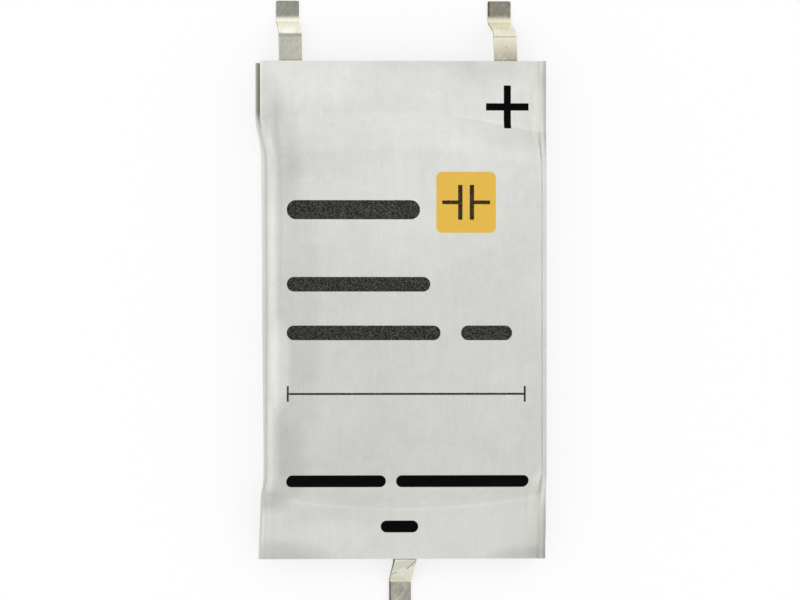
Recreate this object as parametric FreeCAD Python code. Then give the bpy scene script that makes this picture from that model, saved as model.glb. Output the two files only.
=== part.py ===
import FreeCAD
import Part
import math
import os

from FreeCAD import Vector

# A dual-cell pouch supercapacitor: two sealed laminate pouches taped back to back, with flat metal terminals.
# Origin at the centre of the underside. +Z is up, away from the circuit board. +Y points to the end with the
# positive and negative terminals, and +X to the side of the positive one. All sizes are in millimetres.

# The pouches
pouch_length = 28.5
pouch_width = 16.7
cell_thickness = 1.30
seal_thickness = 0.30
fold_pinch = 0.47  # how far the folded long edge is drawn in beside the full thickness
balance_fold_pinch = 0.20  # the same beside the heat seal at the balance end
corner_radius = 0.06  # along the outer face, beside the side seal

# The side seal, folded up along the other long edge
flap_thickness = 0.25
flap_clearance = 0.05  # of its free edge below the outer face, where the seam is highest
flap_level = 0.45  # how far its free edge stays level where the seam dips: 0 follows the seam, 1 is straight
flap_bend_radius = 0.18
flap_crevice = 0.08  # between the folded seal and the side of the pouch
side_draft = 0.35  # lean of the pouch's side below the folded seal

# The flat heat-sealed ends, and the shoulders that rise from them to the full thickness
terminal_seal_length = 2.9
terminal_seal_gap = 0.56  # between the two pouches
terminal_shoulder_length = 2.4
terminal_shoulder_bow = 1.0  # how much further out the shoulder starts at mid-width than at the edges
balance_seal_length = 2.8
balance_seal_gap = 0.24
balance_shoulder_length = 1.6
balance_shoulder_bow = 0.65

# The double-sided tape between the pouches
tape_thickness = 0.10
tape_margin = 0.60  # inside the flat area that the pouches share

# The terminals
terminal_width = 1.35
terminal_thickness = 0.10
terminal_bend_radius = 0.30  # at the middle of the strip
terminal_inset = 2.5  # length held in the heat seal
positive_edge_distance = 2.22  # from the long edge beside it to the middle of the terminal
negative_edge_distance = 2.06
terminal_straight = 1.37
terminal_ramp = 1.17
terminal_foot = 0.92
terminal_tip_radius = 0.10  # at the corners of the foot
balance_offset = 0.25
balance_straight = 0.20
balance_ramp = 1.06
balance_ramp_lead = 0.20  # how much sooner the lower strip lands than the upper one
balance_foot = 1.40

# The polymer seals round the terminals
tab_seal_wall = 0.04
tab_seal_margin = 0.50  # on each side of the terminal

half_length = pouch_length / 2
half_width = pouch_width / 2
side_x = half_width - flap_thickness - flap_crevice
positive_x = half_width - positive_edge_distance
negative_x = negative_edge_distance - half_width
seam_height = cell_thickness / 2
round_weight = math.sqrt(0.5)  # of the corner's control point in a quarter round
fuzz = 1e-6  # for edges picked by their place


def seal_height(gap):
    # Middle of a heat seal above its pouch's inner face, which lies half a tape from the middle of the part.
    return gap / 2 - tape_thickness / 2 + seal_thickness / 2


terminal_end = {
    "side": 1,
    "seal": terminal_seal_length,
    "height": seal_height(terminal_seal_gap),
    "pinch": 0.0,
    "shoulder": terminal_shoulder_length,
    "bow": terminal_shoulder_bow,
}
balance_end = {
    "side": -1,
    "seal": balance_seal_length,
    "height": seal_height(balance_seal_gap),
    "pinch": balance_fold_pinch,
    "shoulder": balance_shoulder_length,
    "bow": balance_shoulder_bow,
}
highest_seam = max(terminal_end["height"], balance_end["height"], seam_height)
highest_flap_top = cell_thickness - flap_clearance
flap_width = highest_flap_top - highest_seam + seal_thickness / 2

# A cell's heights run from its inner face, at the tape, to its outer face.
upper_cell = {"base": cell_thickness + tape_thickness, "up": 1}
lower_cell = {"base": cell_thickness, "up": -1}


def cell_z(cell, height):
    return cell["base"] + cell["up"] * height


def between(low, high, share):
    return low + (high - low) * share


def line(start, end):
    return Part.LineSegment(start, end).toShape()


def arc(start, through, end):
    return Part.Arc(start, through, end).toShape()


def outline(end, rise_edge, rise_middle):
    # Control points (x, height) of each edge round the pouch. A rise of 0 is the flat heat seal and 1 the full
    # thickness. The inner and outer faces bow where the rise at mid-width differs from the one at the edges.
    seal_inner = end["height"] - seal_thickness / 2
    seal_outer = end["height"] + seal_thickness / 2
    inner = between(seal_inner, 0, rise_edge)
    outer = between(seal_outer, cell_thickness, rise_edge)
    inner_crown = between(seal_inner, 0, rise_middle) - inner
    outer_crown = between(seal_outer, cell_thickness, rise_middle) - outer
    fold_x = -half_width + between(end["pinch"], fold_pinch, rise_edge)
    fold_radius = (outer - inner) / 2
    flap_foot = between(seal_inner, seam_height - seal_thickness / 2, rise_edge)
    flap_top = between(flap_foot + flap_width, highest_flap_top, flap_level)

    inner_right = (side_x - side_draft, inner)
    inner_left = (fold_x + fold_radius, inner)
    inner_middle = ((inner_right[0] + inner_left[0]) / 2, inner + 2 * inner_crown)
    fold_middle = (fold_x, inner + fold_radius)
    outer_left = (fold_x + fold_radius, outer)
    outer_right = (side_x - corner_radius, outer)
    outer_middle = ((outer_right[0] + outer_left[0]) / 2, outer + 2 * outer_crown)
    side_top = (side_x, outer - corner_radius)
    crevice_floor = (side_x + flap_crevice / 2, flap_foot + seal_thickness / 2)
    flap_inside = (half_width - flap_thickness, flap_top)
    flap_outside = (half_width, flap_top)
    bend_top = (half_width, flap_foot + flap_bend_radius)
    bend_foot = (half_width - flap_bend_radius, flap_foot)
    return [
        ("bowed", [inner_right, inner_middle, inner_left]),
        ("round", [inner_left, (fold_x, inner), fold_middle]),
        ("round", [fold_middle, (fold_x, outer), outer_left]),
        ("bowed", [outer_left, outer_middle, outer_right]),
        ("round", [outer_right, (side_x, outer), side_top]),
        ("straight", [side_top, crevice_floor]),
        ("straight", [crevice_floor, flap_inside]),
        ("straight", [flap_inside, flap_outside]),
        ("straight", [flap_outside, bend_top]),
        ("round", [bend_top, (half_width, flap_foot), bend_foot]),
        ("straight", [bend_foot, inner_right]),
    ]


def place(cell, end, distance, control):
    # Point of an outline that lies at a distance from the pouch's end.
    return Vector(control[0], end["side"] * (half_length - distance), cell_z(cell, control[1]))


def flat_edges(cell, end, distance, rise):
    # Outline where the whole width has the same rise.
    edges = []
    for kind, controls in outline(end, rise, rise):
        points = [place(cell, end, distance, control) for control in controls]
        if kind == "round":
            middle = (points[0] + points[1] * (2 * round_weight) + points[2]) / (2 + 2 * round_weight)
            edges.append(arc(points[0], middle, points[2]))
        else:
            edges.append(line(points[0], points[-1]))
    return edges


def body_start(end):
    # Distance from the pouch's end to where its whole width has the full thickness.
    return end["seal"] + end["shoulder"] + end["bow"]


def rise_and_slope(distance, start, length):
    # Smooth step from 0 to 1 with level ends, and its slope.
    share = min(max((distance - start) / length, 0.0), 1.0)
    return share * share * (3 - 2 * share), 6 * share * (1 - share) / length


def shoulder_controls(end):
    # The shoulder follows two smooth steps, one at the edges and one at mid-width, which are cubics between
    # these distances. Gives the knots and, for each row of control points, its distance and its two rises.
    edge_start = end["seal"] + end["bow"]
    knots = sorted({end["seal"], edge_start, end["seal"] + end["shoulder"], body_start(end)})
    rows = []
    for low, high in zip(knots, knots[1:]):
        third = (high - low) / 3
        for distance, step in ((low, third), (high, -third)):
            edge, edge_slope = rise_and_slope(distance, edge_start, end["shoulder"])
            middle, middle_slope = rise_and_slope(distance, end["seal"], end["shoulder"])
            rows.append((distance + step, edge + edge_slope * step, middle + middle_slope * step))
    return knots, [(knots[0], 0.0, 0.0)] + rows + [(knots[-1], 1.0, 1.0)]


def shoulder_faces(cell, end):
    knots, rows = shoulder_controls(end)
    counts = [4] + [2] * (len(knots) - 2) + [4]
    outlines = [outline(end, edge, middle) for distance, edge, middle in rows]
    faces = []
    for edge, (kind, controls) in enumerate(outlines[0]):
        degree = len(controls) - 1
        poles = []
        weights = []
        for i in range(degree + 1):
            poles.append([place(cell, end, row[0], shape[edge][1][i]) for row, shape in zip(rows, outlines)])
            weights.append([round_weight if kind == "round" and i == 1 else 1.0] * len(rows))
        surface = Part.BSplineSurface()
        ends = [degree + 1, degree + 1]
        surface.buildFromPolesMultsKnots(poles, ends, counts, [0, 1], knots, False, False, degree, 3, weights)
        faces.append(surface.toShape())
    return faces


def end_faces(cell, end):
    # The cut edge, the flat seal and the shoulder behind it.
    edges = flat_edges(cell, end, 0, 0)
    inwards = Vector(0, -end["side"] * end["seal"], 0)
    cut_edge = Part.Face(Part.Wire(edges))
    return [cut_edge] + [edge.extrude(inwards) for edge in edges] + shoulder_faces(cell, end)


def sealed_strip(cell, end, x, width, thickness):
    # Straight strip in the middle of a heat seal, from the seal's cut edge inwards.
    outer_y = end["side"] * half_length
    inner_y = end["side"] * (half_length - terminal_inset)
    z = cell_z(cell, end["height"])
    corner = Vector(x - width / 2, min(outer_y, inner_y), z - thickness / 2)
    return Part.makeBox(width, terminal_inset, thickness, corner)


def tab_slot(cell, end, x):
    # Room in the heat seal for a terminal and the polymer round it.
    width = terminal_width + 2 * tab_seal_margin
    return sealed_strip(cell, end, x, width, terminal_thickness + 2 * tab_seal_wall)


def pouch(cell, terminal_x):
    start = body_start(terminal_end)
    body = Vector(0, start + body_start(balance_end) - pouch_length, 0)
    faces = [edge.extrude(body) for edge in flat_edges(cell, terminal_end, start, 1)]
    skin = Part.makeCompound(faces + end_faces(cell, terminal_end) + end_faces(cell, balance_end))
    skin.sewShape()
    solid = Part.Solid(skin.Shells[0])
    if solid.Volume < 0:
        solid.reverse()
    slots = [tab_slot(cell, terminal_end, terminal_x), tab_slot(cell, balance_end, balance_offset)]
    return solid.removeSplitter().cut(slots)


def bonding_tape():
    left = -half_width + fold_pinch + cell_thickness / 2 + tape_margin
    right = side_x - side_draft - tape_margin
    low = -half_length + body_start(balance_end) + tape_margin
    high = half_length - body_start(terminal_end) - tape_margin
    return Part.makeBox(right - left, high - low, tape_thickness, Vector(left, low, cell_thickness))


def strip_side(points, offset):
    # Edges along one side of a bent strip, left of its middle line by an offset, with an arc at each bend.
    ways = [(after - before).normalize() for before, after in zip(points, points[1:])]
    lefts = [Vector(0, -way.z, way.y) for way in ways]
    start = points[0] + lefts[0] * offset
    edges = []
    for i in range(1, len(ways)):
        turn = lefts[i - 1].getAngle(lefts[i])
        sign = math.copysign(1, lefts[i - 1].dot(ways[i]))
        reach = terminal_bend_radius * math.tan(turn / 2)
        bend_start = points[i] - ways[i - 1] * reach
        bend_end = points[i] + ways[i] * reach
        centre = bend_start + lefts[i - 1] * (sign * terminal_bend_radius)
        outwards = (points[i] - centre).normalize()
        arc_start = bend_start + lefts[i - 1] * offset
        arc_middle = centre + outwards * (terminal_bend_radius - sign * offset)
        arc_end = bend_end + lefts[i] * offset
        edges.append(line(start, arc_start))
        edges.append(arc(arc_start, arc_middle, arc_end))
        start = arc_end
    edges.append(line(start, points[-1] + lefts[-1] * offset))
    return edges


def bent_terminal(end, x, seal_z, straight, ramp, foot, foot_z):
    # Flat strip: held in the seal, straight out, down a ramp and flat again as a solder foot.
    edge_y = end["side"] * half_length
    distances = [-terminal_inset, straight, straight + ramp, straight + ramp + foot]
    heights = [seal_z, seal_z, foot_z, foot_z]
    points = [Vector(x - terminal_width / 2, edge_y + end["side"] * d, z) for d, z in zip(distances, heights)]
    upper = strip_side(points, terminal_thickness / 2)
    lower = strip_side(points, -terminal_thickness / 2)
    inner_end = line(upper[0].Vertexes[0].Point, lower[0].Vertexes[0].Point)
    tip = line(upper[-1].Vertexes[-1].Point, lower[-1].Vertexes[-1].Point)
    profile = Part.Wire(Part.__sortEdges__(upper + lower + [inner_end, tip]))
    strip = Part.Face(profile).extrude(Vector(terminal_width, 0, 0))
    tip_edges = [edge for edge in strip.Edges if abs(edge.CenterOfMass.y - points[-1].y) < fuzz]
    tip_corners = [edge for edge in tip_edges if edge.Length < 2 * terminal_thickness]
    return strip.makeFillet(terminal_tip_radius, tip_corners)


def outer_terminal(cell, x):
    # Positive or negative terminal, down to the circuit board.
    seal_z = cell_z(cell, terminal_end["height"])
    foot_z = terminal_thickness / 2
    return bent_terminal(terminal_end, x, seal_z, terminal_straight, terminal_ramp, terminal_foot, foot_z)


def balance_terminal(cell, lead, layer):
    # The upper strip's foot lies on the lower strip's foot, where the two are welded.
    seal_z = cell_z(cell, balance_end["height"])
    foot_z = terminal_thickness * (layer + 0.5)
    ramp = balance_ramp - lead
    foot = balance_foot + lead
    return bent_terminal(balance_end, balance_offset, seal_z, balance_straight, ramp, foot, foot_z)


def tab_seal(cell, end, x):
    sleeve = tab_slot(cell, end, x)
    return sleeve.cut(sealed_strip(cell, end, x, terminal_width, terminal_thickness))


parts = {
    "upper_cell_pouch": pouch(upper_cell, positive_x),
    "lower_cell_pouch": pouch(lower_cell, negative_x),
    "bonding_tape": bonding_tape(),
    "positive_terminal": outer_terminal(upper_cell, positive_x),
    "negative_terminal": outer_terminal(lower_cell, negative_x),
    "upper_balance_terminal": balance_terminal(upper_cell, 0, 1),
    "lower_balance_terminal": balance_terminal(lower_cell, balance_ramp_lead, 0),
    "positive_tab_seal": tab_seal(upper_cell, terminal_end, positive_x),
    "negative_tab_seal": tab_seal(lower_cell, terminal_end, negative_x),
    "upper_balance_tab_seal": tab_seal(upper_cell, balance_end, balance_offset),
    "lower_balance_tab_seal": tab_seal(lower_cell, balance_end, balance_offset),
}

os.makedirs("parts", exist_ok=True)
for name, shape in parts.items():
    shape.exportStep(f"parts/{name}.step")
    box = shape.optimalBoundingBox(True, False)
    print(
        name,
        "valid" if shape.isValid() else "INVALID",
        len(shape.Solids),
        f"{shape.Volume:.3f} mm3",
        f"x {box.XMin:.2f} {box.XMax:.2f}  y {box.YMin:.2f} {box.YMax:.2f}  z {box.ZMin:.3f} {box.ZMax:.3f}",
    )
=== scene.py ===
import math

import bpy
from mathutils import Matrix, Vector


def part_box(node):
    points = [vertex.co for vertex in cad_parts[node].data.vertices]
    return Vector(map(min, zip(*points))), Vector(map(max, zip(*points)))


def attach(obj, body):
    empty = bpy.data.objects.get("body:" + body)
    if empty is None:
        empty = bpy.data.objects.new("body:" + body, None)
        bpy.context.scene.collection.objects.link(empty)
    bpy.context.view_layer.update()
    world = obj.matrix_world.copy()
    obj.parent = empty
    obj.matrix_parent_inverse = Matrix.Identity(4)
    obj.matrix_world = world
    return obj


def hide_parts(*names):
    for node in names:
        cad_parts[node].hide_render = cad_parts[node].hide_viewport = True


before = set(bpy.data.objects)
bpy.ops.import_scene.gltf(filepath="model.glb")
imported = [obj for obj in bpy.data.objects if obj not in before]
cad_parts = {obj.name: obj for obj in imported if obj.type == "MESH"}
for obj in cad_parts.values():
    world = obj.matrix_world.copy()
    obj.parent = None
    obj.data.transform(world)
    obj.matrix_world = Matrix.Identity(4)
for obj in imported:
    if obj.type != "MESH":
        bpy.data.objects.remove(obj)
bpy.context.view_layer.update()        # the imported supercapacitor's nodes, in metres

mm = 0.001  # pieces are modelled in millimetres and brought to metres when they are done
near = 1e-3  # points this close to a line or plane count as on it
cutThreshold = 1e-5
facingWay = 0.9  # a face looks along an axis when its normal has this much of it


def boxOf(node):
    low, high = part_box(node)
    return low / mm, high / mm


def between(low, high, share):
    return low + (high - low) * share


def smoothStep(share):
    share = min(max(share, 0.0), 1.0)
    return share * share * (3 - 2 * share)


# Modelling helpers

def workOn(piece):
    bpy.ops.object.select_all(action="DESELECT")
    piece.select_set(True)
    bpy.context.view_layer.objects.active = piece


def pick(piece, test, kind="VERT"):
    # Selects vertices, edges or faces by a test and leaves the piece in edit mode.
    bpy.ops.object.mode_set(mode="OBJECT")
    mesh = piece.data
    bpy.context.tool_settings.mesh_select_mode = (kind == "VERT", kind == "EDGE", kind == "FACE")
    groups = {"VERT": mesh.vertices, "EDGE": mesh.edges, "FACE": mesh.polygons}
    for items in groups.values():
        items.foreach_set("select", [False] * len(items))
    groups[kind].foreach_set("select", [bool(test(item)) for item in groups[kind]])
    bpy.ops.object.mode_set(mode="EDIT")


def edgeTest(piece, test):
    # Both ends of an edge pass the test.
    points = piece.data.vertices
    return lambda edge: all(test(points[i].co) for i in edge.vertices)


def cutAcross(piece, axis, places):
    # Bisects the whole piece at each place along an axis.
    normal = [0, 0, 0]
    normal["xyz".index(axis)] = 1
    bpy.ops.object.mode_set(mode="EDIT")
    for place in places:
        bpy.ops.mesh.select_all(action="SELECT")
        point = [place * step for step in normal]
        bpy.ops.mesh.bisect(plane_co=point, plane_no=normal, threshold=cutThreshold)
    bpy.ops.object.mode_set(mode="OBJECT")


def roundEdges(offset, segments):
    # Rounds the selected edges.
    bpy.ops.mesh.bevel(offset=offset, segments=segments, profile=0.5, affect="EDGES")


def addBlock(name, low, high):
    centre = [(a + b) / 2 for a, b in zip(low, high)]
    size = [b - a for a, b in zip(low, high)]
    bpy.ops.object.select_all(action="DESELECT")
    bpy.ops.mesh.primitive_cube_add(size=1, location=centre, scale=size)
    bpy.ops.object.transform_apply(location=True, rotation=True, scale=True)
    block = bpy.context.object
    block.name = name
    block.data.name = name
    return block


def applyAll(piece):
    workOn(piece)
    for modifier in list(piece.modifiers):
        bpy.ops.object.modifier_apply(modifier=modifier.name)


def pushBy(piece, name, direction, amount, weightOf, texture=None):
    # Moves vertices along an axis by an amount times a weight, and a texture's value if there is one.
    group = piece.vertex_groups.new(name=name)
    for vertex in piece.data.vertices:
        weight = weightOf(vertex)
        if weight > 0:
            group.add([vertex.index], min(weight, 1.0), "REPLACE")
    push = piece.modifiers.new(name, "DISPLACE")
    push.direction = direction
    push.strength = amount
    push.mid_level = 0
    push.vertex_group = name
    if texture is not None:
        push.texture = texture
        push.texture_coords = "LOCAL"
    applyAll(piece)
    piece.vertex_groups.remove(piece.vertex_groups[name])


def cutOut(piece, low, high):
    cutter = addBlock("cutter", low, high)
    cut = piece.modifiers.new("cutOut", "BOOLEAN")
    cut.operation = "DIFFERENCE"
    cut.solver = "EXACT"
    cut.object = cutter
    applyAll(piece)
    bpy.data.objects.remove(cutter)


def finishPiece(piece, node, material, smoothAngle):
    # Smooth shading, to metres, finish, and its place in the frame.
    workOn(piece)
    bpy.ops.object.shade_smooth_by_angle(angle=math.radians(smoothAngle))
    # broad faces stay flat beside their rounded edges
    flats = piece.modifiers.new("flats", "WEIGHTED_NORMAL")
    flats.keep_sharp = True
    applyAll(piece)
    piece.scale = (mm, mm, mm)
    bpy.ops.object.transform_apply(location=False, rotation=False, scale=True)
    piece.data.materials.clear()
    piece.data.materials.append(material)
    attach(piece, "root")
    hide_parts(node)
    print(piece.name, "done,", len(piece.data.polygons), "faces")


# Shader helpers

class Wire:
    # A socket that takes part in sums: an expression on values adds its Math nodes.
    def __init__(self, socket):
        self.socket = socket

    def add(self, kind, settings=None, sockets=None, output=0):
        tree = self.socket.id_data
        node = tree.nodes.new(kind)
        for key, value in (settings or {}).items():
            if key == "stops":
                setStops(node.color_ramp, value)
            else:
                setattr(node, key, value)
        for key, value in (sockets or {}).items():
            if isinstance(value, Wire):
                tree.links.new(value.socket, node.inputs[key])
            else:
                node.inputs[key].default_value = value
        return Wire(node.outputs[output])

    def out(self, name):
        return Wire(self.socket.node.outputs[name])

    def math(self, operation, first, second=0.0, clamp=False):
        settings = {"operation": operation, "use_clamp": clamp}
        return self.add("ShaderNodeMath", settings, {0: first, 1: second})

    def __add__(self, other):
        return self.math("ADD", self, other)

    def __radd__(self, other):
        return self.math("ADD", other, self)

    def __sub__(self, other):
        return self.math("SUBTRACT", self, other)

    def __rsub__(self, other):
        return self.math("SUBTRACT", other, self)

    def __mul__(self, other):
        return self.math("MULTIPLY", self, other)

    def __rmul__(self, other):
        return self.math("MULTIPLY", other, self)

    def __truediv__(self, other):
        return self.math("DIVIDE", self, other)

    def __rtruediv__(self, other):
        return self.math("DIVIDE", other, self)

    def __pow__(self, other):
        return self.math("POWER", self, other)

    def __abs__(self):
        return self.math("ABSOLUTE", self)

    def most(self, other):
        return self.math("MAXIMUM", self, other)

    def clamped(self):
        return self.math("ADD", self, 0.0, clamp=True)

    def swing(self):
        # A noise's value about 0 instead of about one half.
        return self - 0.5

    def rise(self, low, high):
        # 0 below low, 1 above high, smooth between.
        settings = {"interpolation_type": "SMOOTHSTEP"}
        return self.add("ShaderNodeMapRange", settings, {"Value": self, "From Min": low, "From Max": high})

    def noise(self, scale, detail=2.0, roughness=0.5):
        # Noise on a vector, about 0 to 1.
        sockets = {"Vector": self, "Scale": scale, "Detail": detail, "Roughness": roughness}
        return self.add("ShaderNodeTexNoise", None, sockets)

    def stretched(self, x, y, z):
        return self.add("ShaderNodeVectorMath", {"operation": "MULTIPLY"}, {0: self, 1: (x, y, z)})

    def scaled(self, amount):
        return self.add("ShaderNodeVectorMath", {"operation": "SCALE"}, {0: self, "Scale": amount})

    def apart(self):
        # The X of a vector, with its Y and Z as further outputs.
        return self.add("ShaderNodeSeparateXYZ", None, {0: self})

    def mixed(self, first, second):
        # Colour mix with this value as the factor.
        sockets = {0: self, 6: first, 7: second}
        return self.add("ShaderNodeMix", {"data_type": "RGBA"}, sockets, 2)


def setStops(ramp, stops):
    ramp.interpolation = "B_SPLINE"
    while len(ramp.elements) < len(stops):
        ramp.elements.new(1.0)
    for element, (position, colour) in zip(ramp.elements, stops):
        element.position = position
        element.color = colour


def tint(red, green, blue):
    # A colour as a picture shows it, 0 to 255, made linear.
    def linear(level):
        level = level / 255
        return level / 12.92 if level <= 0.04045 else ((level + 0.055) / 1.055) ** 2.4
    return (linear(red), linear(green), linear(blue), 1.0)


def newMaterial(name):
    # A material, its shader, and the place on the piece in millimetres.
    material = bpy.data.materials.new(name)
    material.use_nodes = True
    tree = material.node_tree
    shader = tree.nodes["Principled BSDF"]
    coordinates = Wire(tree.nodes.new("ShaderNodeTexCoord").outputs["Object"])
    return material, shader, coordinates.scaled(1 / mm)


def feed(shader, name, wire):
    shader.id_data.links.new(wire.socket, shader.inputs[name])


def feedBump(shader, height, strength=1.0):
    # The height is in millimetres.
    bump = height.add("ShaderNodeBump", None, {"Strength": strength, "Distance": mm, "Height": height})
    feed(shader, "Normal", bump)


# Camera: over the part and tilted to its folded side, with a long lens

view = {
    "tilt": 12.5,
    "distance": 1200.0,
    "aim": (0.010, 0.560, 1.4),
    "pixelsPerMm": 17.47,
    "pictureWidth": 800,
    "sensorWidth": 36.0,
    "clips": (0.01, 10.0),  # in metres
}


def makeCamera():
    seenWidth = view["pictureWidth"] / view["pixelsPerMm"]
    tilt = math.radians(view["tilt"])
    lens = bpy.data.cameras.new("camera")
    lens.sensor_width = view["sensorWidth"]
    lens.lens = view["sensorWidth"] * view["distance"] / seenWidth
    lens.clip_start, lens.clip_end = view["clips"]
    camera = bpy.data.objects.new("camera", lens)
    back = (-math.sin(tilt), 0, math.cos(tilt))
    camera.location = [(a + b * view["distance"]) * mm for a, b in zip(view["aim"], back)]
    camera.rotation_euler = (0, -tilt, 0)
    bpy.context.scene.collection.objects.link(camera)
    bpy.context.scene.camera = camera
    print("camera set,", round(lens.lens, 1), "mm lens")


# Studio: a ring of soft light overhead with a darker middle, one soft lamp, pale floor

studio = {
    "ring": 1.05,
    "horizon": 0.95,
    "horizonRise": (0.05, 0.50),
    "middle": 0.27,
    "middleWay": (0.216, 0.0, 0.976),
    "middleEdge": (0.940, 0.9965),
    "lampPlace": (-0.36, 0.02, 0.48),
    "lampSize": 0.40,
    "lampPower": 0.25,
    "floorSize": 3.0,
    "floorDrop": 0.02,
    "floorColour": (250, 250, 250),
    "floorRoughness": 0.9,
    "floorGlow": 0.70,
}


def makeStudio():
    scene = bpy.context.scene
    scene.view_settings.view_transform = "Standard"
    world = bpy.data.worlds.new("studioRoom")
    scene.world = world
    world.use_nodes = True
    white = (1, 1, 1, 1)
    way = Wire(world.node_tree.nodes.new("ShaderNodeTexCoord").outputs["Generated"])
    vectors = {0: way, 1: studio["middleWay"]}
    facing = way.add("ShaderNodeVectorMath", {"operation": "DOT_PRODUCT"}, vectors, 1)
    height = way.apart().out("Z")
    glows = {}
    for part in ("horizon", "ring", "middle"):
        glows[part] = way.add("ShaderNodeBackground", None, {"Color": white, "Strength": studio[part]})
    upper = {0: height.rise(*studio["horizonRise"]), 1: glows["horizon"], 2: glows["ring"]}
    sky = way.add("ShaderNodeMixShader", None, upper)
    inner = {0: facing.rise(*studio["middleEdge"]), 1: sky, 2: glows["middle"]}
    sky = way.add("ShaderNodeMixShader", None, inner)
    feed(world.node_tree.nodes["World Output"], "Surface", sky)

    lamp = bpy.data.lights.new("softLamp", "AREA")
    lamp.shape = "SQUARE"
    lamp.size = studio["lampSize"]
    lamp.energy = studio["lampPower"]
    holder = bpy.data.objects.new("softLamp", lamp)
    holder.location = studio["lampPlace"]
    holder.rotation_euler = holder.location.to_track_quat("Z", "Y").to_euler()
    scene.collection.objects.link(holder)

    bpy.ops.object.select_all(action="DESELECT")
    bpy.ops.mesh.primitive_plane_add(size=studio["floorSize"], location=(0, 0, -studio["floorDrop"] * mm))
    floor = bpy.context.object
    floor.name = "floor"
    paper = bpy.data.materials.new("floorPaper")
    paper.use_nodes = True
    tree = paper.node_tree
    shader = tree.nodes["Principled BSDF"]
    shader.inputs["Base Color"].default_value = tint(*studio["floorColour"])
    shader.inputs["Roughness"].default_value = studio["floorRoughness"]
    path = Wire(tree.nodes.new("ShaderNodeLightPath").outputs["Is Camera Ray"])
    seen = path.most(path.out("Is Glossy Ray")).most(path.out("Is Transmission Ray"))
    glow = path.add("ShaderNodeEmission", None, {"Color": white, "Strength": 1.0})
    both = path.add("ShaderNodeMixShader", None, {0: seen * studio["floorGlow"], 2: glow})
    tree.links.new(shader.outputs[0], both.socket.node.inputs[1])
    tree.links.new(both.socket, tree.nodes["Material Output"].inputs["Surface"])
    floor.data.materials.append(paper)
    print("studio set")


# Laminate film: satin metal, brushed along its length, with printed marks on the upper pouch

film = {
    # painted light: the film's colour is lighter towards the terminal end, standing for how light falls
    # along it
    "paintedLightAlongY": [(-14.2, 207), (-3.0, 208), (7.5, 222), (12.5, 226)],  # places along Y and levels there
    "toneShift": (-1, 0, -5),  # red, green and blue from that level
    "metallic": 0.30,
    "specular": 0.04,
    "roughness": 0.45,
    "grainStretch": (9.0, 0.70, 9.0),
    "grainDetail": 3.0,
    "grainFineShare": 0.6,
    "grainTone": 0.10,
    "grainRough": 0.10,
    "grainDepth": 0.0010,
    "fineScale": 7.0,
    "fineTone": 0.13,
    "streakStretch": (1.6, 0.10, 1.6),
    "streakTone": 0.05,
    "blotchScale": 1.4,
    "blotchTone": 0.10,
    "cloudScale": 0.22,
    "cloudDetail": 3.0,
    "cloudTone": 0.18,
    "cloudRough": 0.08,
    "waveScale": 0.55,
    "waveDepth": 0.010,
    # painted shade in the gap between the pouches and at its corner
    "gapShade": (146, 141, 124),
    "gapHeights": (0.85, 1.10),
    "gapStart": (-11.0, -10.0),  # along Y
    "gapShare": 0.32,
    "cornerStart": (10.7, 11.35),  # along Y
    "cornerShare": 0.70,
    "inkBlack": (3, 3, 3),
    "inkGrey": (30, 28, 27),
    "inkAmber": (224, 180, 62),
    "inkHeights": (1.66, 1.72),  # only the upper face is printed
    "inkEdge": 0.025,
    "inkWobble": 0.02,
    "wobbleScale": 9.0,
    "inkCover": 0.96,
    "coverSwing": 0.35,
    "coverScale": 12.0,
    "coverDetail": 1.0,
    "inkHidesMetal": 0.95,
    "inkRough": 0.08,
}

# Painted light and shade on the upper face: soft brighter and darker places standing for highlights and
# shade where the film is slack or creased
paintedFilmLightAndShade = [
    {"at": (-7.74, -2.0), "reach": (0.23, 16.0), "change": 0.09},
    {"at": (-7.96, 0.0), "reach": (0.15, 9.0), "change": -0.12},
    {"at": (-7.86, 9.2), "reach": (0.22, 1.6), "change": 0.07},
    {"at": (-7.36, 5.5), "reach": (0.30, 8.0), "change": -0.08},
    {"at": (-6.40, -1.0), "reach": (1.9, 12.0), "change": -0.08},
    {"at": (-7.05, 8.8), "reach": (1.4, 4.2), "change": -0.11},
    {"at": (-7.30, -3.1), "reach": (0.75, 3.2), "change": 0.16},
    {"at": (-7.10, -8.4), "reach": (1.7, 3.2), "change": -0.12},
    {"at": (-7.84, -7.8), "reach": (0.22, 3.4), "change": 0.12},
    {"at": (-8.05, 11.9), "reach": (1.35, 2.2), "change": -0.11},
    {"at": (-7.80, -11.0), "reach": (1.5, 0.8), "change": -0.13},
    {"at": (7.20, -14.3), "reach": (2.6, 1.0), "change": -0.18},
    {"at": (-7.00, -14.4), "reach": (3.6, 1.5), "change": -0.21},
    {"at": (0.90, 14.3), "reach": (4.0, 0.9), "change": -0.06},
    {"at": (5.20, 14.3), "reach": (3.2, 1.9), "change": -0.13},
    {"at": (-5.00, 9.8), "reach": (5.5, 3.0), "change": -0.08},
    {"at": (-4.20, -13.0), "reach": (3.0, 1.4), "change": 0.06},
    {"at": (8.02, 10.8), "reach": (0.5, 2.6), "change": 0.14},
    {"at": (8.28, 12.2), "reach": (0.24, 4.0), "change": -0.40},
    {"at": (7.90, -11.4), "reach": (0.6, 2.7), "change": 0.13},
    {"at": (8.30, -12.6), "reach": (0.28, 2.8), "change": -0.40},
]

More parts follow.
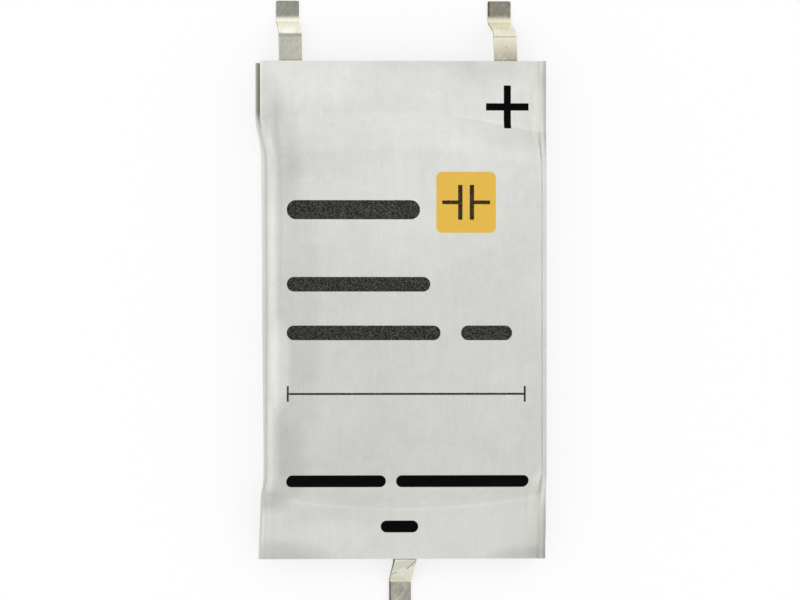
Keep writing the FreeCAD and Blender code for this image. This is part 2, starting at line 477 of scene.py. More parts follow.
# Printed fields on the upper face: middle, half size, corner round, ink
printFields = [
    {"at": (6.19, 11.62), "half": (1.25, 0.21), "round": 0.03, "ink": "inkBlack"},
    {"at": (6.19, 11.62), "half": (0.21, 1.23), "round": 0.03, "ink": "inkBlack"},
    {"at": (3.60, 6.15), "half": (1.75, 1.75), "round": 0.35, "ink": "inkAmber"},
    {"at": (3.26, 6.15), "half": (0.13, 1.00), "round": 0.05, "ink": "inkGrey"},
    {"at": (3.94, 6.15), "half": (0.13, 1.00), "round": 0.05, "ink": "inkGrey"},
    {"at": (2.69, 6.15), "half": (0.50, 0.11), "round": 0.05, "ink": "inkGrey"},
    {"at": (4.51, 6.15), "half": (0.50, 0.11), "round": 0.05, "ink": "inkGrey"},
    {"at": (-3.00, 5.72), "half": (3.90, 0.55), "round": 0.55, "ink": "inkGrey"},
    {"at": (-2.70, 1.46), "half": (4.20, 0.42), "round": 0.42, "ink": "inkGrey"},
    {"at": (-2.40, -1.32), "half": (4.50, 0.42), "round": 0.42, "ink": "inkGrey"},
    {"at": (4.80, -1.32), "half": (1.50, 0.42), "round": 0.42, "ink": "inkGrey"},
    {"at": (0.10, -4.81), "half": (7.00, 0.06), "round": 0.03, "ink": "inkGrey"},
    {"at": (-6.84, -4.81), "half": (0.06, 0.45), "round": 0.03, "ink": "inkGrey"},
    {"at": (7.04, -4.81), "half": (0.06, 0.45), "round": 0.03, "ink": "inkGrey"},
    {"at": (-4.00, -9.80), "half": (2.90, 0.34), "round": 0.34, "ink": "inkBlack"},
    {"at": (3.40, -9.80), "half": (3.90, 0.34), "round": 0.34, "ink": "inkBlack"},
    {"at": (-0.10, -12.40), "half": (1.10, 0.34), "round": 0.34, "ink": "inkBlack"},
]


def printedField(x, y, field, wobble):
    # 1 inside a rounded rectangle, with a soft edge.
    corner = field["round"]
    across = (abs(x - field["at"][0]) - (field["half"][0] - corner)).most(0.0)
    along = (abs(y - field["at"][1]) - (field["half"][1] - corner)).most(0.0)
    reach = (across * across + along * along) ** 0.5 - corner + wobble
    return (0.5 - reach / film["inkEdge"]).clamped()


def inkMask(x, y, ink, wobble):
    # 1 on every printed field of one ink.
    mask = None
    for field in printFields:
        if field["ink"] == ink:
            shape = printedField(x, y, field, wobble)
            mask = shape if mask is None else mask.most(shape)
    return mask


def softSpot(x, y, spot):
    # 1 at the middle of an oval, fading to 0 at its edge.
    across = (x - spot["at"][0]) / spot["reach"][0]
    along = (y - spot["at"][1]) / spot["reach"][1]
    return 1 - (across * across + along * along).rise(0.0, 1.0)


# Painted light and shade at two creases: the balance end's seal is painted paler up to a bowed crease, and a
# short crease at the other end has painted shade below it
crease = {
    "sealAt": -11.39,
    "sealBow": 0.0132,
    "sealDrop": 0.85,
    "dropSpan": (6.3, 8.1),
    "sealEdge": (-0.06, 0.10),
    "paintedLight": 0.07,
    "shortAt": 11.70,
    "shortLean": 0.187,
    "shortEdge": (-0.03, 0.06),
    "shortFade": (0.10, 2.2),
    "shortSpan": (1.0, 6.0),
    "paintedShade": 0.10,
}


# painted light on the balance seal and painted shade below the short crease
def creaseLightAndShade(x, y):
    drop = crease["sealDrop"] * (0 - x).rise(*crease["dropSpan"])
    sealStart = crease["sealBow"] * x * x + crease["sealAt"] - drop
    paintedLight = 1 - (y - sealStart).rise(*crease["sealEdge"])
    below = crease["shortAt"] - crease["shortLean"] * x - y
    paintedShade = below.rise(*crease["shortEdge"]) * (1 - below.rise(*crease["shortFade"]))
    paintedShade = paintedShade * x.rise(*crease["shortSpan"])
    return crease["paintedLight"] * paintedLight - crease["paintedShade"] * paintedShade


def filmMaterial(name, printed):
    material, shader, place = newMaterial(name)
    x = place.apart()
    y, z = x.out("Y"), x.out("Z")

    # colour along the length as painted light, lighter towards the terminal end, with grain, streaks,
    # blotches and clouds; the upper face adds painted light and shade at creases and slack places
    length = 2 * halfLength
    stops = []
    for at, level in film["paintedLightAlongY"]:
        stops.append((at / length + 0.5, tint(*[level + shift for shift in film["toneShift"]])))
    colour = y.add("ShaderNodeValToRGB", {"stops": stops}, {"Fac": y / length + 0.5})
    grain = place.stretched(*film["grainStretch"]).noise(1.0, film["grainDetail"], film["grainFineShare"])
    streaks = place.stretched(*film["streakStretch"]).noise(1.0)
    clouds = place.noise(film["cloudScale"], film["cloudDetail"])
    tone = 1 + film["grainTone"] * grain.swing() + film["fineTone"] * place.noise(film["fineScale"]).swing()
    tone = tone + film["streakTone"] * streaks.swing() + film["cloudTone"] * clouds.swing()
    tone = tone + film["blotchTone"] * place.noise(film["blotchScale"]).swing()
    if printed:
        tone = tone + creaseLightAndShade(x, y)
        # painted highlights and painted shade, spot by spot
        for spot in paintedFilmLightAndShade:
            tone = tone + spot["change"] * softSpot(x, y, spot)
    colour = colour.scaled(tone)
    rough = film["roughness"] + film["grainRough"] * grain.swing() + film["cloudRough"] * clouds.swing()

    # ink on the upper pouch, painted shade in the gap on the lower one
    if printed:
        wobble = film["inkWobble"] * place.noise(film["wobbleScale"]).swing()
        onTop = z.rise(*film["inkHeights"])
        patchy = place.noise(film["coverScale"], film["coverDetail"]).swing()
        cover = (film["inkCover"] + film["coverSwing"] * patchy).clamped()
        inked = None
        for ink in ("inkAmber", "inkGrey", "inkBlack"):
            mask = inkMask(x, y, ink, wobble) * onTop * (cover if ink != "inkBlack" else 1.0)
            colour = mask.mixed(colour, tint(*film[ink]))
            inked = mask if inked is None else inked.most(mask)
        feed(shader, "Metallic", film["metallic"] * (1 - film["inkHidesMetal"] * inked))
        rough = rough + film["inkRough"] * inked
    else:
        alongGap = film["gapShare"] * y.rise(*film["gapStart"])
        atCorner = film["cornerShare"] * y.rise(*film["cornerStart"])
        inGap = z.rise(*film["gapHeights"]) * (alongGap + atCorner)
        colour = inGap.mixed(colour, tint(*film["gapShade"]))
        shader.inputs["Metallic"].default_value = film["metallic"]
    shader.inputs["Specular IOR Level"].default_value = film["specular"]
    feed(shader, "Base Color", colour)
    feed(shader, "Roughness", rough)
    waves = place.noise(film["waveScale"])
    feedBump(shader, grain * film["grainDepth"] + waves * film["waveDepth"])
    return material


# The pouches: one block, folded along one side and heat-sealed round the rest

pouch = {
    "sealThickness": 0.30,
    "foldPinch": 0.47,
    "foldRound": 0.62,
    "foldSteps": 6,
    "foldSupports": (0.12, 0.40),
    "cornerRound": 0.10,
    "cornerSupports": (0.18, 0.34),
    "flapThickness": 0.25,
    "flapCrevice": 0.05,
    "flapWidth": 0.75,
    "flapLevel": 0.45,
    "flapBend": 0.18,
    "flapEdge": 0.05,
    "grooveDepth": 0.10,
    "sideDraft": 0.35,
    "columns": 20,
    "bodyRows": 12,
    "shoulderRows": 8,
    "endRow": 0.08,
    "creaseRow": 0.15,
    "creaseShare": 0.25,
    "smoothLevels": 2,
    "reliefDepth": 0.035,
    "reliefScale": 2.4,
    "slackFrom": 0.3,  # the film is slack where its normal has more of Z than this
    "bowFade": 5.0,
    "leadFrom": 3.0,
    "leadReach": 5.0,
    "cornerDrawIn": 0.08,
    "cornerReach": 1.5,
    "cornerLength": 4.6,
    "cornerFade": 1.0,
    "lowerDrawBack": 0.14,
    "lowerFrom": 7.0,
    "lowerFade": 0.8,
    "lowerLength": 2.0,
    "leanReach": 1.5,
    "slotMargin": 0.5,
    "smoothAngle": 40,
}
terminalEnd = {
    "side": 1, "seal": 2.9, "gap": 0.56, "shoulder": 2.4, "bow": 1.0,
    "foldLead": 0.45, "pinches": (0.0, 0.0),
}
balanceEnd = {
    "side": -1, "seal": 2.8, "gap": 0.24, "shoulder": 1.6, "bow": 0.65,
    "foldLead": 0.0, "pinches": (0.14, 0.28),
}
upperLow, upperHigh = boxOf("upper_cell_pouch")
lowerHigh = boxOf("lower_cell_pouch")[1]
halfLength = upperHigh.y
partMiddle = (upperLow.z + lowerHigh.z) / 2  # the plane between the two cells


def sealInner(end):
    return partMiddle + end["gap"] / 2


def rowsOf(end):
    # (distance from the pouch's end, rise) of each row: a rise of 0 is the flat seal, 1 the full thickness.
    start = end["seal"] + end["bow"]
    sealed = (0.0, pouch["endRow"], start / 3, start * 2 / 3, start - pouch["creaseRow"])
    rows = [(distance, 0.0) for distance in sealed]
    for i in range(pouch["shoulderRows"] + 1):
        share = i / pouch["shoulderRows"]
        rise = between(smoothStep(share), 1 - (1 - share) ** 2, pouch["creaseShare"])
        rows.append((start + share * end["shoulder"], rise))
    return rows


def rowPlace(end, distance):
    return end["side"] * (halfLength - distance)


def shapeRow(piece, end, distance, rise, groups):
    # Flattens one row of the block towards the heat seal.
    y = rowPlace(end, distance)
    bodyMiddle = (upperLow.z + upperHigh.z) / 2
    bodyFoot = bodyMiddle - pouch["sealThickness"] / 2
    inner = between(sealInner(end), upperLow.z, rise)
    outer = between(sealInner(end) + pouch["sealThickness"], upperHigh.z, rise)
    ratio = (outer - inner) / (upperHigh.z - upperLow.z)
    foldX = upperLow.x + pouch["foldPinch"]

    def inRow(vertex):
        return abs(vertex.co.y - y) < near

    pick(piece, lambda vertex: inRow(vertex) and vertex.index not in groups["seam"])
    bpy.ops.transform.resize(value=(1, 1, ratio), center_override=(0, y, bodyMiddle))
    bpy.ops.transform.translate(value=(0, 0, (inner + outer) / 2 - bodyMiddle))
    dip = between(sealInner(end), bodyFoot, rise) - bodyFoot
    pick(piece, lambda vertex: inRow(vertex) and vertex.index in groups["seam"] - groups["flapTop"])
    bpy.ops.transform.translate(value=(0, 0, dip))
    pick(piece, lambda vertex: inRow(vertex) and vertex.index in groups["flapTop"])
    bpy.ops.transform.translate(value=(0, 0, dip * (1 - pouch["flapLevel"])))
    pinch = between(*end["pinches"], min(distance / (end["seal"] + end["bow"]), 1.0))
    pick(piece, lambda vertex: inRow(vertex) and vertex.index in groups["fold"])
    bpy.ops.transform.resize(value=(ratio, 1, 1), center_override=(foldX, y, bodyMiddle))
    bpy.ops.transform.translate(value=((pinch - pouch["foldPinch"]) * (1 - rise), 0, 0))


def bowWeight(end):
    # The shoulder starts further out at mid-width than at the edges, and a little further out at the fold.
    start = end["seal"] + end["bow"]

    def weightOf(vertex):
        distance = halfLength - end["side"] * vertex.co.y
        lead = end["foldLead"] * smoothStep((-vertex.co.x - pouch["leadFrom"]) / pouch["leadReach"])
        across = 1 - (vertex.co.x / upperHigh.x) ** 2 + lead
        along = min(distance / start, 1.0)
        inwards = 1 - smoothStep((distance - start - end["shoulder"]) / pouch["bowFade"])
        return across * along * inwards
    return weightOf


def makePouch():
    foldX = upperLow.x + pouch["foldPinch"]
    sideX = upperHigh.x - pouch["flapThickness"] - pouch["flapCrevice"]
    bodyMiddle = (upperLow.z + upperHigh.z) / 2
    bodyFoot = bodyMiddle - pouch["sealThickness"] / 2
    flapTop = bodyFoot + pouch["flapWidth"]
    grooveZ = upperHigh.z - pouch["grooveDepth"]
    piece = addBlock("cellPouch", (foldX, upperLow.y, upperLow.z), (sideX, upperHigh.y, upperHigh.z))

    # rounded fold along one long side
    def alongFold(edge):
        ends = [piece.data.vertices[i].co for i in edge.vertices]
        return all(co.x < foldX + near for co in ends) and abs(ends[0].y - ends[1].y) > halfLength
    pick(piece, alongFold, "EDGE")
    roundEdges(pouch["foldRound"], pouch["foldSteps"])

    # side seal on the other side, drawn out and folded up
    for z in (bodyFoot, grooveZ):
        pick(piece, lambda face: face.normal.x > facingWay, "FACE")
        bpy.ops.mesh.bisect(plane_co=(0, 0, z), plane_no=(0, 0, 1), threshold=cutThreshold)
    pick(piece, lambda face: face.normal.x > facingWay and bodyFoot < face.center.z < grooveZ, "FACE")
    bpy.ops.mesh.extrude_region_move(TRANSFORM_OT_translate={"value": (pouch["flapCrevice"], 0, 0)})
    bpy.ops.mesh.extrude_region_move(TRANSFORM_OT_translate={"value": (pouch["flapThickness"], 0, 0)})
    flapX = sideX + pouch["flapCrevice"]
    pick(piece, lambda face: face.normal.z > facingWay and face.center.x > flapX, "FACE")
    bpy.ops.mesh.extrude_region_move(TRANSFORM_OT_translate={"value": (0, 0, flapTop - grooveZ)})
    pick(piece, lambda vertex: abs(vertex.co.x - sideX) < near and vertex.co.z < upperLow.z + near)
    bpy.ops.transform.translate(value=(-pouch["sideDraft"], 0, 0))

    # rounds along the side seal: place, radius and steps
    rounds = [
        (sideX, upperHigh.z, pouch["cornerRound"], 3),
        (upperHigh.x, bodyFoot, pouch["flapBend"], 4),
        (upperHigh.x, flapTop, pouch["flapEdge"], 2),
        (flapX, flapTop, pouch["flapEdge"], 2),
    ]
    for x, z, offset, segments in rounds:
        def onLine(co, x=x, z=z):
            return abs(co.x - x) < near and abs(co.z - z) < near
        pick(piece, edgeTest(piece, onLine), "EDGE")
        roundEdges(offset, segments)

    # rows and columns, then the rows at both ends are flattened
    bpy.ops.object.mode_set(mode="OBJECT")
    left = foldX + pouch["foldRound"]
    right = sideX - pouch["sideDraft"]
    columns = [between(left, right, i / pouch["columns"]) for i in range(1, pouch["columns"])]
    columns += [left + step for step in pouch["foldSupports"]]
    columns += [sideX - step for step in pouch["cornerSupports"]]
    cutAcross(piece, "x", columns)
    rows = {1: rowsOf(terminalEnd), -1: rowsOf(balanceEnd)}
    bodyStart = rowPlace(balanceEnd, rows[-1][-1][0])
    bodyStop = rowPlace(terminalEnd, rows[1][-1][0])
    places = [between(bodyStart, bodyStop, i / pouch["bodyRows"]) for i in range(1, pouch["bodyRows"])]
    for end in (terminalEnd, balanceEnd):
        places += [rowPlace(end, distance) for distance, rise in rows[end["side"]][1:]]
    cutAcross(piece, "y", places)
    points = piece.data.vertices
    groups = {
        "seam": {v.index for v in points if v.co.x > sideX - near and v.co.z < bodyMiddle + near},
        "fold": {v.index for v in points if v.co.x < left + max(pouch["foldSupports"]) + near},
        "flapTop": {v.index for v in points if v.co.x > sideX + near and v.co.z > bodyMiddle},
    }
    groups["seam"] |= groups["flapTop"]
    for end in (terminalEnd, balanceEnd):
        for distance, rise in rows[end["side"]]:
            if rise < 1:
                shapeRow(piece, end, distance, rise, groups)
    pick(piece, edgeTest(piece, lambda co: abs(co.y) > halfLength - near), "EDGE")
    bpy.ops.transform.edge_crease(value=1.0)
    bpy.ops.object.mode_set(mode="OBJECT")
    for end in (terminalEnd, balanceEnd):
        pushBy(piece, "bow", "Y", end["side"] * end["bow"], bowWeight(end))

    smooth = piece.modifiers.new("smooth", "SUBSURF")
    smooth.levels = pouch["smoothLevels"]
    smooth.render_levels = pouch["smoothLevels"]
    applyAll(piece)
    print("pouch form made")
    return piece


# Places where the upper film has sunk or its edge has curled down
dents = [
    {"at": (-7.65, -10.85), "reach": (0.9, 0.5), "depth": 0.10},
    {"at": (8.30, -14.25), "reach": (1.8, 1.8), "depth": 0.14},
    {"at": (-6.50, -14.25), "reach": (3.0, 0.6), "depth": 0.06},
    {"at": (-7.00, 8.30), "reach": (1.4, 2.6), "depth": 0.05},
    {"at": (-7.00, -7.70), "reach": (1.3, 2.4), "depth": 0.05},
]


def dentWeight(dent):
    def weightOf(vertex):
        across = (vertex.co.x - dent["at"][0]) / dent["reach"][0]
        along = (vertex.co.y - dent["at"][1]) / dent["reach"][1]
        return 1 - smoothStep(across * across + along * along)
    return weightOf


def slackFilm(piece):
    # Slight slackness and dents of the film on the outer face, inwards only, and the fold's corner drawn in.
    slack = bpy.data.textures.new("filmSlack", "CLOUDS")
    slack.noise_scale = pouch["reliefScale"]
    slack.noise_depth = 1

    def facesOut(vertex):
        return max(vertex.normal.z - pouch["slackFrom"], 0.0)
    pushBy(piece, "slack", "Z", -pouch["reliefDepth"], facesOut, slack)
    for dent in dents:
        pushBy(piece, "dent", "Z", -dent["depth"], dentWeight(dent))

    def atFoldCorner(vertex):
        beside = 1 - smoothStep((vertex.co.x - upperLow.x) / pouch["cornerReach"])
        return beside * smoothStep((vertex.co.y - halfLength + pouch["cornerLength"]) / pouch["cornerFade"])
    pushBy(piece, "drawIn", "X", pouch["cornerDrawIn"], atFoldCorner)


# Slight leans of the lower fold along its length: inwards above 0, growing from start and gone after stop
foldLeans = [
    {"end": balanceEnd, "amount": 0.075, "start": -0.5, "rise": 9.0, "stop": 9.9, "fall": 0.9},
    {"end": terminalEnd, "amount": -0.060, "start": 1.0, "rise": 8.0, "stop": 9.0, "fall": 0.8},
]


def leanWeight(lean):
    def weightOf(vertex):
        along = lean["end"]["side"] * vertex.co.y
        beside = 1 - smoothStep((vertex.co.x - upperLow.x - pouch["foldPinch"]) / pouch["leanReach"])
        grown = smoothStep((along - lean["start"]) / lean["rise"])
        return beside * grown * (1 - smoothStep((along - lean["stop"]) / lean["fall"]))
    return weightOf


def leanFold(piece):
    # The lower pouch's corner under the fold is drawn back, and its fold leans.
    length = pouch["lowerLength"]

    def atCorner(vertex):
        outer = smoothStep((-vertex.co.x - pouch["lowerFrom"]) / pouch["lowerFade"])
        return outer * smoothStep((vertex.co.y - halfLength + length) / length)
    pushBy(piece, "drawBack", "Y", -pouch["lowerDrawBack"], atCorner)
    for lean in foldLeans:
        pushBy(piece, "lean", "X", lean["amount"], leanWeight(lean))


def openSlot(piece, sealNode):
    low, high = boxOf(sealNode)
    outwards = math.copysign(pouch["slotMargin"], low.y)
    slotLow = (low.x, min(low.y, low.y + outwards), low.z)
    slotHigh = (high.x, max(high.y, high.y + outwards), high.z)
    cutOut(piece, slotLow, slotHigh)


def makePouches():
    upper = makePouch()
    lower = upper.copy()
    lower.data = upper.data.copy()
    bpy.context.scene.collection.objects.link(lower)
    slackFilm(upper)

    # the lower pouch mirrors the upper one
    workOn(lower)
    bpy.ops.object.mode_set(mode="EDIT")
    bpy.ops.mesh.select_all(action="SELECT")
    bpy.ops.transform.resize(value=(1, 1, -1), center_override=(0, 0, partMiddle))
    bpy.ops.mesh.normals_make_consistent(inside=False)
    bpy.ops.object.mode_set(mode="OBJECT")
    leanFold(lower)
    upper.name = "upperPouch"
    lower.name = "lowerPouch"
    openSlot(upper, "positive_tab_seal")
    openSlot(upper, "upper_balance_tab_seal")
    openSlot(lower, "negative_tab_seal")
    openSlot(lower, "lower_balance_tab_seal")
    printedFilm = filmMaterial("printedFilm", True)
    finishPiece(upper, "upper_cell_pouch", printedFilm, pouch["smoothAngle"])
    plainFilm = filmMaterial("plainFilm", False)
    finishPiece(lower, "lower_cell_pouch", plainFilm, pouch["smoothAngle"])


# Terminals: plated strips that droop from the seal and are bent down to the circuit board

strip = {
    "thickness": 0.10,
    "droopRadius": 1.0,
    "bendSteps": 8,
    "easeAngle": 12.0,
    "edgeRound": 0.01,
    "edgeSteps": 2,
    "edgeAngle": 50,
    "edgeSupport": 0.05,
    "tipRound": 0.10,
    "tipSteps": 4,
    "tipShort": 0.01,
    "smoothAngle": 35,
    "plate": (245, 244, 230),
    "stain": (218, 208, 178),
    # the marks' colour: real scuffs, and painted shade at bend creases
    "markAndCreaseShade": (148, 144, 127),
    # faces turned sideways take this darker colour
    "sidewaysDark": (114, 110, 96),
    "scratchTurn": 38,
    "scratchStretch": (12.0, 0.7, 12.0),
    "scratchTone": 0.18,
    "scratchRough": 0.12,
    "scratchDepth": 0.0010,
    "drawnStretch": (10.0, 0.5, 10.0),
    "drawnTone": 0.16,
    "drawnDepth": 0.0010,
    "waveScale": 2.2,
    "waveDepth": 0.003,
    "stainScale": 1.3,
    "stainDetail": 3.0,
    "stainEdge": (0.48, 0.72),
    "stainShare": 0.45,
    "stainRough": 0.10,
    "warmStart": (3.0, 4.0),  # along X
    "warmShare": 0.55,
    "flatRange": (0.45, 0.90),
    # painted light: the slopes keep less stain, so they show paler
    "litSlopeStain": 0.30,
    "slopeRough": 0.12,
    "dullStart": (15.2, 15.6),  # towards the balance end
    "dullRough": 0.05,
    "palerSideStart": (14.0, 14.2),  # towards the balance end
    "palerSideShare": 0.75,
    "sideRange": (0.35, 0.85),
    "roughness": 0.16,
}
terminals = {
    "positive_terminal": {
        "name": "positiveTerminal", "end": terminalEnd, "seal": "positive_tab_seal", "trim": 0.0,
        "droop": 5.5, "straight": 1.21, "sag": 4.5, "crease": 0.65,
        "slope": 70.0, "footBend": 0.18, "ease": 2.0,
    },
    "negative_terminal": {
        "name": "negativeTerminal", "end": terminalEnd, "seal": "negative_tab_seal", "trim": 0.0,
        "droop": 5.5, "straight": 1.46, "sag": 0.2, "crease": 0.60,
        "slope": 60.0, "footBend": 0.13, "ease": 2.2,
    },
    "upper_balance_terminal": {
        "name": "upperBalanceTerminal", "end": balanceEnd, "seal": "upper_balance_tab_seal", "trim": 0.09,
        "droop": 0.5, "straight": 0.02, "sag": 0.5, "crease": 0.12,
        "slope": 50.5, "footBend": 0.06, "ease": 0.06,
    },
    "lower_balance_terminal": {
        "name": "lowerBalanceTerminal", "end": balanceEnd, "seal": "lower_balance_tab_seal", "trim": 0.09,
        "droop": 0.5, "straight": 0.05, "sag": 0.5, "crease": 0.35,
        "slope": 47.0, "footBend": 0.25, "ease": 0.25,
    },
}


def goOn(path, length):
    # Draws the selected end straight on.
    step = (0, path["side"] * length * math.cos(path["tilt"]), -length * math.sin(path["tilt"]))
    bpy.ops.mesh.extrude_region_move(TRANSFORM_OT_translate={"value": step})
    path["y"] += step[1]
    path["z"] += step[2]


def bend(path, angle, radius):
    # Draws the selected end round a bend, downwards for an angle above 0.
    reach = math.copysign(radius, angle)
    centreY = path["y"] - path["side"] * reach * math.sin(path["tilt"])
    centreZ = path["z"] - reach * math.cos(path["tilt"])
    turn = path["side"] * angle / strip["bendSteps"]
    for step in range(strip["bendSteps"]):
        bpy.ops.mesh.extrude_region_move(TRANSFORM_OT_translate={"value": (0, 0, 0)})
        bpy.ops.transform.rotate(value=turn, orient_axis="X", center_override=(0, centreY, centreZ))
    path["tilt"] += angle
    path["y"] = centreY + path["side"] * reach * math.sin(path["tilt"])
    path["z"] = centreZ + reach * math.cos(path["tilt"])


def makeTerminal(node, material):
    settings = terminals[node]
    side = settings["end"]["side"]
    low, high = boxOf(node)
    sealLow, sealHigh = boxOf(settings["seal"])
    half = strip["thickness"] / 2
    sealZ = (sealLow.z + sealHigh.z) / 2
    footZ = low.z + half
    edgeY = side * halfLength
    innerY = low.y if side > 0 else high.y
    tipY = (high.y if side > 0 else low.y) - side * strip["tipShort"]
    droop, sag, slope = (math.radians(settings[key]) for key in ("droop", "sag", "slope"))

    # from the seal outwards, round each bend to the tip
    leftX = low.x + settings["trim"]
    blockLow = (leftX, min(innerY, edgeY), sealZ - half)
    blockHigh = (high.x, max(innerY, edgeY), sealZ + half)
    piece = addBlock(settings["name"], blockLow, blockHigh)
    pick(piece, lambda face: face.normal.y * side > facingWay, "FACE")
    path = {"side": side, "y": edgeY, "z": sealZ, "tilt": 0.0}
    bend(path, droop, strip["droopRadius"])
    bend(path, sag, settings["straight"] / sag)
    bend(path, slope - droop - sag, settings["crease"])
    eased = math.radians(strip["easeAngle"])  # the foot bend opens out before the flat foot
    drop = path["z"] - footZ - settings["ease"] * (1 - math.cos(eased))
    drop -= settings["footBend"] * (math.cos(eased) - math.cos(slope))
    goOn(path, drop / math.sin(slope))
    bend(path, eased - slope, settings["footBend"])
    bend(path, -eased, settings["ease"])
    goOn(path, abs(tipY - path["y"]))
    bpy.ops.object.mode_set(mode="OBJECT")

    # rounded corners at the tip, then supports beside the long edges
    def atTip(edge):
        ends = [piece.data.vertices[i].co for i in edge.vertices]
        return all(abs(co.y - tipY) < near for co in ends) and abs(ends[0].x - ends[1].x) < near
    pick(piece, atTip, "EDGE")
    roundEdges(strip["tipRound"], strip["tipSteps"])
    cutAcross(piece, "x", (leftX + strip["edgeSupport"], high.x - strip["edgeSupport"]))
    edges = piece.modifiers.new("edges", "BEVEL")
    edges.width = strip["edgeRound"]
    edges.segments = strip["edgeSteps"]
    edges.limit_method = "ANGLE"
    edges.angle_limit = math.radians(strip["edgeAngle"])
    applyAll(piece)
    finishPiece(piece, node, material, strip["smoothAngle"])


# Tool marks and scuffs on the strips, and painted shade along some bend creases: start, stop, half width,
# fade beyond it, strength
stripMarksAndCreaseShade = [
    {"start": (-7.1, 15.735), "stop": (-5.5, 15.735), "half": 0.04, "fade": 0.10, "strength": 0.45},
    {"start": (5.3, 15.64), "stop": (7.0, 15.64), "half": 0.02, "fade": 0.04, "strength": 0.55},
    {"start": (6.0, 16.05), "stop": (7.0, 16.05), "half": 0.05, "fade": 0.10, "strength": 0.15},
    {"start": (6.145, 15.055), "stop": (6.175, 15.055), "half": 0.02, "fade": 0.04, "strength": 0.5},
    {"start": (5.48, 16.90), "stop": (5.48, 18.0), "half": 0.05, "fade": 0.08, "strength": 0.9},
    {"start": (-0.2, -14.85), "stop": (0.7, -14.85), "half": 0.65, "fade": 0.10, "strength": 0.30},
    {"start": (-0.3, -14.70), "stop": (0.8, -14.45), "half": 0.14, "fade": 0.32, "strength": 0.46},
    {"start": (0.92, -14.33), "stop": (0.50, -14.80), "half": 0.025, "fade": 0.04, "strength": 0.9},
    {"start": (-0.28, -15.12), "stop": (-0.10, -15.02), "half": 0.03, "fade": 0.04, "strength": 0.7},
    {"start": (0.45, -15.95), "stop": (0.15, -16.40), "half": 0.04, "fade": 0.04, "strength": 0.35},
    {"start": (-0.33, -15.60), "stop": (-0.33, -17.0), "half": 0.04, "fade": 0.06, "strength": 0.9},
]


def lineMark(x, y, markAndCreaseShade):
    # 1 on a short line, fading at its edge.
    (startX, startY), (stopX, stopY) = markAndCreaseShade["start"], markAndCreaseShade["stop"]
    length = math.hypot(stopX - startX, stopY - startY)
    wayX, wayY = (stopX - startX) / length, (stopY - startY) / length
    along = (x - startX) * wayX + (y - startY) * wayY
    across = (y - startY) * wayX - (x - startX) * wayY
    beyond = (abs(along - length / 2) - length / 2).most(0.0)
    reach = (beyond * beyond + across * across) ** 0.5
    return markAndCreaseShade["strength"] * (1 - reach.rise(markAndCreaseShade["half"], markAndCreaseShade["half"] + markAndCreaseShade["fade"]))


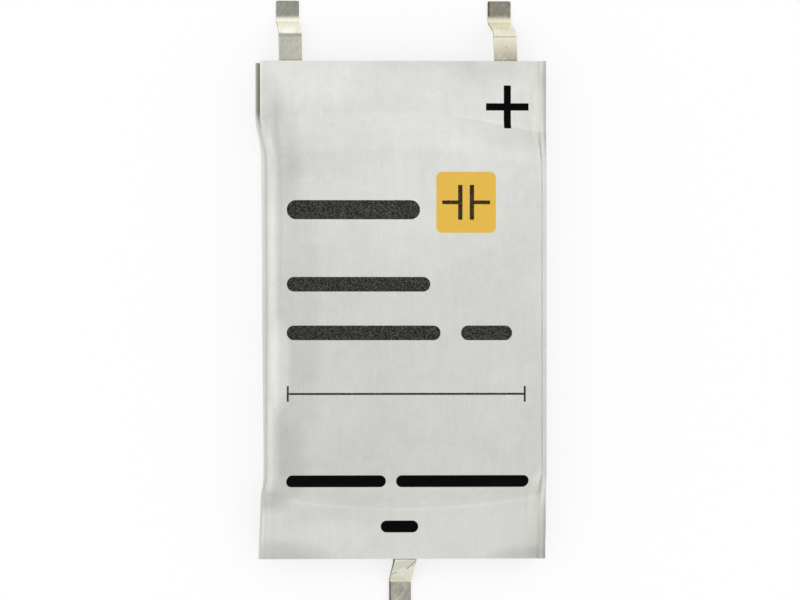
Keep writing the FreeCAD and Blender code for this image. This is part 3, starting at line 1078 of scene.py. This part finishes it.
def plateMaterial():
    material, shader, place = newMaterial("platedStrip")
    x = place.apart()
    y = x.out("Y")
    turn = (0, 0, math.radians(strip["scratchTurn"]))
    turned = place.add("ShaderNodeMapping", None, {"Vector": place, "Rotation": turn})
    scratches = turned.stretched(*strip["scratchStretch"]).noise(1.0)
    drawn = place.stretched(*strip["drawnStretch"]).noise(1.0)
    stains = place.noise(strip["stainScale"], strip["stainDetail"]).rise(*strip["stainEdge"])
    warm = x.rise(*strip["warmStart"])  # the positive strip's plating has gone warmer
    facing = place.add("ShaderNodeNewGeometry", None, None, "Normal").apart()
    flat = facing.out("Z").rise(*strip["flatRange"])

    # plating with stains, marks and painted shade at bend creases; the stains thin out on the slopes as
    # painted light, since the slopes catch light
    stainLessOnLitSlopes = strip["litSlopeStain"] + (1 - strip["litSlopeStain"]) * flat
    stained = (strip["stainShare"] * stains).most(strip["warmShare"] * warm) * stainLessOnLitSlopes
    colour = stained.mixed(tint(*strip["plate"]), tint(*strip["stain"]))
    marksAndCreaseShade = lineMark(x, y, stripMarksAndCreaseShade[0])
    for markAndCreaseShade in stripMarksAndCreaseShade[1:]:
        marksAndCreaseShade = marksAndCreaseShade.most(lineMark(x, y, markAndCreaseShade))
    colour = marksAndCreaseShade.mixed(colour, tint(*strip["markAndCreaseShade"]))
    tone = 1 + strip["scratchTone"] * scratches.swing() + strip["drawnTone"] * drawn.swing()
    colour = colour.scaled(tone)

    # faces turned sideways are darker, except on the slope of the balance strips, whose feet are less glossy
    towardsBalance = 0 - y
    dull = towardsBalance.rise(*strip["dullStart"])
    palerSide = towardsBalance.rise(*strip["palerSideStart"]) - dull
    sideways = abs(facing).rise(*strip["sideRange"]) * (1 - strip["palerSideShare"] * palerSide)
    colour = sideways.mixed(colour, tint(*strip["sidewaysDark"]))
    feed(shader, "Base Color", colour)
    rough = strip["roughness"] + strip["scratchRough"] * scratches.swing() + strip["stainRough"] * stains
    rough = rough + strip["dullRough"] * dull + strip["slopeRough"] * (1 - flat)
    feed(shader, "Roughness", rough)
    shader.inputs["Metallic"].default_value = 1.0
    waves = place.noise(strip["waveScale"])
    height = strip["scratchDepth"] * scratches + strip["drawnDepth"] * drawn + strip["waveDepth"] * waves
    feedBump(shader, height)
    return material


def makeTerminals():
    plate = plateMaterial()
    for node in terminals:
        makeTerminal(node, plate)


# Tab seals and tape keep their solid form and take a finish

seal = {"colour": (222, 220, 208), "cloud": (206, 203, 190), "cloudScale": 3.0, "roughness": 0.38}
tape = {"colour": (214, 211, 198), "cloud": (198, 194, 180), "cloudScale": 6.0, "roughness": 0.6}
polymer = {
    "cloudDetail": 3.0,
    "cloudEdge": (0.35, 0.65),
    "cloudRough": 0.15,
    "cloudDepth": 0.004,
    "bump": 0.5,
}


def polymerMaterial(name, look):
    material, shader, place = newMaterial(name)
    clouds = place.noise(look["cloudScale"], polymer["cloudDetail"])
    cloudy = clouds.rise(*polymer["cloudEdge"])
    feed(shader, "Base Color", cloudy.mixed(tint(*look["colour"]), tint(*look["cloud"])))
    feed(shader, "Roughness", look["roughness"] + polymer["cloudRough"] * clouds.swing())
    feedBump(shader, polymer["cloudDepth"] * clouds, polymer["bump"])
    return material


def dressNode(node, material):
    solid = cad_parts[node]
    solid.data.materials.clear()
    solid.data.materials.append(material)


def dressSolids():
    sealFinish = polymerMaterial("sealPolymer", seal)
    for settings in terminals.values():
        dressNode(settings["seal"], sealFinish)
    dressNode("bonding_tape", polymerMaterial("bondingTape", tape))
    print("solids dressed")


makeCamera()
makeStudio()
makePouches()
makeTerminals()
dressSolids()
